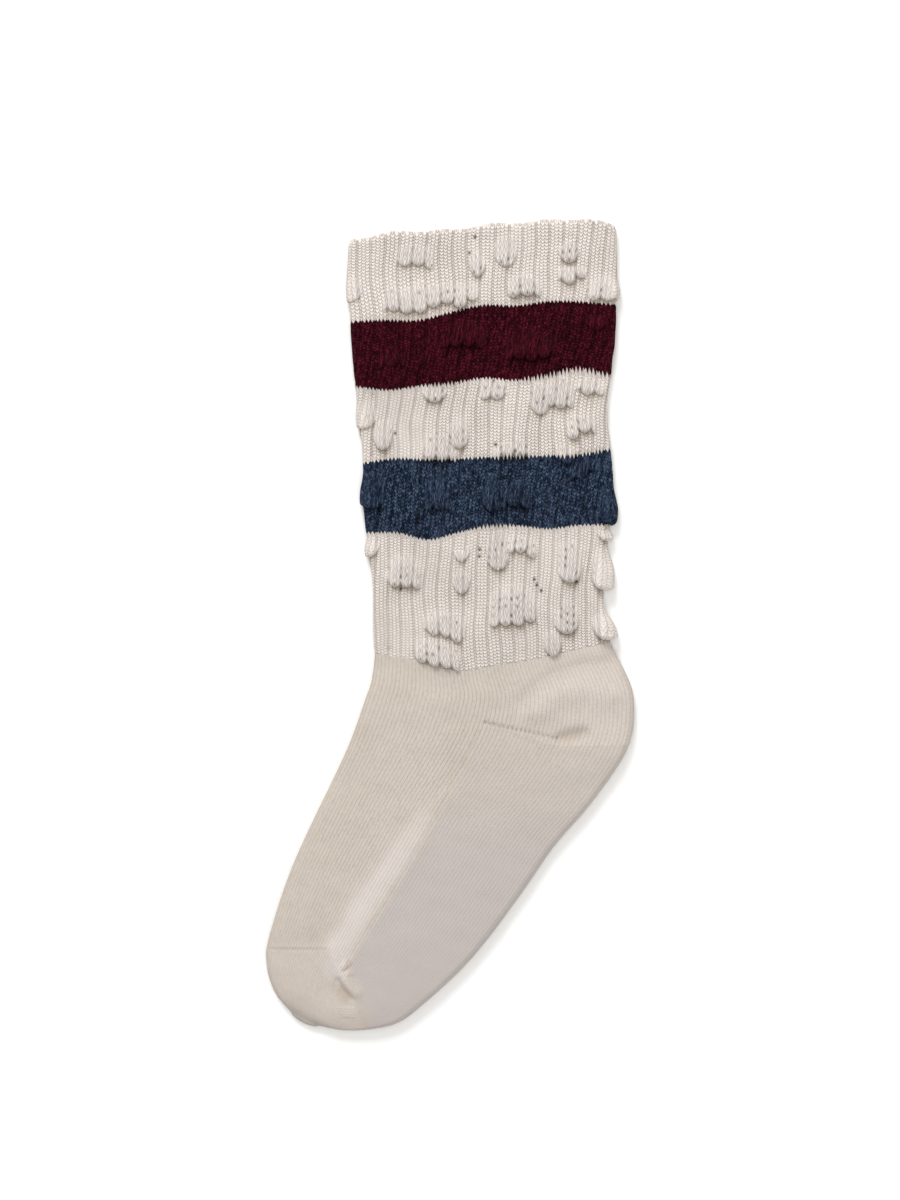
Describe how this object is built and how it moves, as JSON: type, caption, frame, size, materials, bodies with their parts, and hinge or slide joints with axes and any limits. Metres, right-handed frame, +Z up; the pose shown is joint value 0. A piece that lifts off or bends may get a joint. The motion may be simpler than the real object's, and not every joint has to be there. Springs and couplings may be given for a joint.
{
  "type": "knitted sock",
  "caption": "Heavy ribbed boot sock lying flat on its side, with puffed knitting and two contrast bands on the leg and a smooth cushioned foot.",
  "frame": {"origin": "middle of the flat sock's outline, on the surface it lies on", "axes": "+Z up from the surface the sock lies on, +Y up the leg towards the mouth, +X towards the back of the leg and the heel; the toe points to -X and -Y"},
  "size_m": [0.1618, 0.3562, 0.0104],
  "materials": {
    "cream_rib_knit": "matte ribbed wool-blend knit with knitted puffs",
    "burgundy_rib_knit": "matte heathered ribbed knit",
    "blue_rib_knit": "matte heathered ribbed knit",
    "cream_plain_knit": "matte fine plain knit over a looped cushion"
  },
  "bodies": {
    "root": {"cuff": "cream_rib_knit", "burgundy_band": "burgundy_rib_knit", "calf": "cream_rib_knit", "blue_band": "blue_rib_knit", "shin": "cream_rib_knit", "foot": "cream_plain_knit"}
  },
  "joints": []
}
